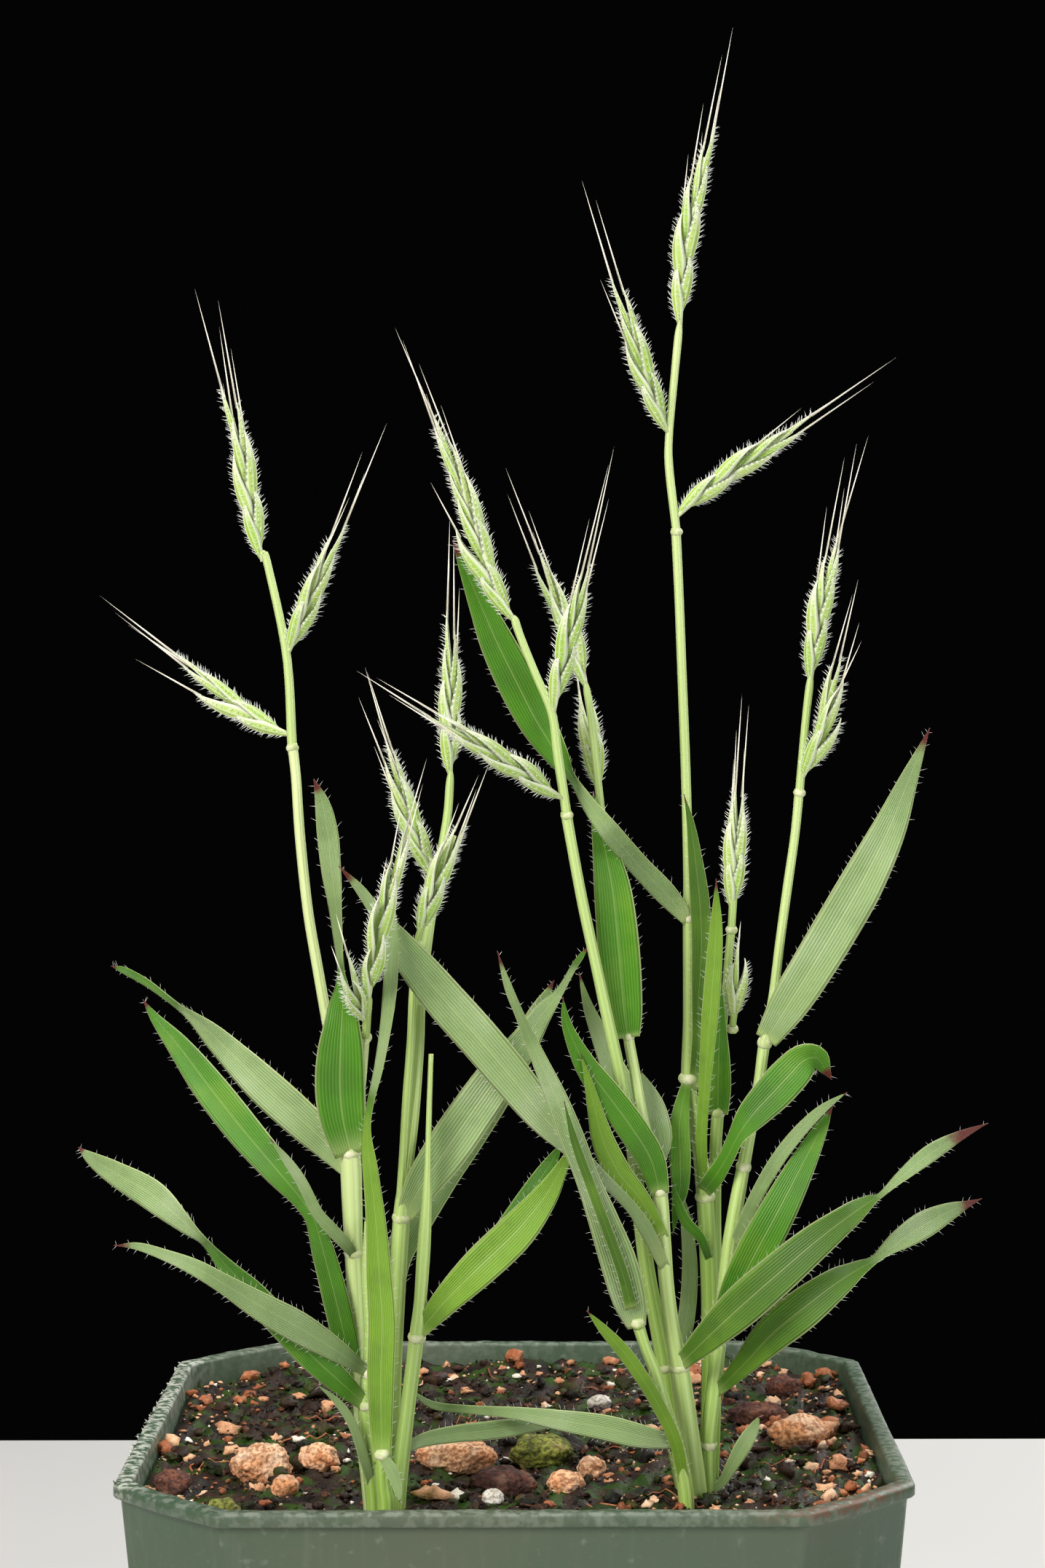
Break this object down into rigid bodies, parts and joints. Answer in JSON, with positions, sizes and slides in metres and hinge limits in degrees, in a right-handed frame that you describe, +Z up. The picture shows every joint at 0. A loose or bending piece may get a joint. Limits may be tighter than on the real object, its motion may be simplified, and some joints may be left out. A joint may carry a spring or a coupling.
{
  "type": "potted false brome",
  "caption": "False brome grass in a square green plastic pot: leafy tufts with hairy blades and awned flower heads, rooted in peat with clay, bark and perlite.",
  "frame": {"origin": "middle of the pot's underside, on the surface that it stands on", "axes": "+Z up, +X to the right and -Y towards the viewer in the pot's front view"},
  "size_m": [0.1158, 0.1016, 0.2736],
  "materials": {
    "pot": "matte, dusty dark green",
    "soil": "loose moist peat with green algae",
    "leaf": "living green grass, silky, finely ribbed",
    "flower_head": "pale green scales with stiff white hairs",
    "clay": "rough porous baked clay",
    "bark": "rough red-brown bark",
    "perlite": "white foamed grains",
    "moss": "lump of peat grown over with moss and algae"
  },
  "bodies": {
    "root": {"pot": "pot", "soil": "soil", "left_front_stem": "leaf", "left_low_stem": "leaf", "left_tall_stem": "leaf", "left_middle_stem": "leaf", "left_side_stem": "leaf", "right_front_stem": "leaf", "right_broad_stem": "leaf", "right_arching_stem": "leaf", "right_tallest_stem": "leaf", "right_short_stem": "leaf", "right_leaning_stem": "leaf", "left_tall_head": "flower_head", "left_middle_head": "flower_head", "left_small_head": "flower_head", "left_leaning_head": "flower_head", "centre_head": "flower_head", "centre_back_head": "flower_head", "right_tallest_head": "flower_head", "right_leaning_head": "flower_head", "right_short_head": "flower_head", "right_small_head": "flower_head", "clay_lump_front": "clay", "clay_lump_long": "clay", "clay_lump_small": "clay", "clay_slab": "clay", "clay_lump_middle": "clay", "clay_lump_low": "clay", "clay_lump_right": "clay", "clay_lump_back": "clay", "bark_chip": "bark", "bark_chip_right": "bark", "bark_chip_back": "bark", "bark_chip_left": "bark", "perlite_front": "perlite", "perlite_back": "perlite", "mossy_lump": "moss", "mossy_lump_left": "moss"}
  },
  "joints": []
}
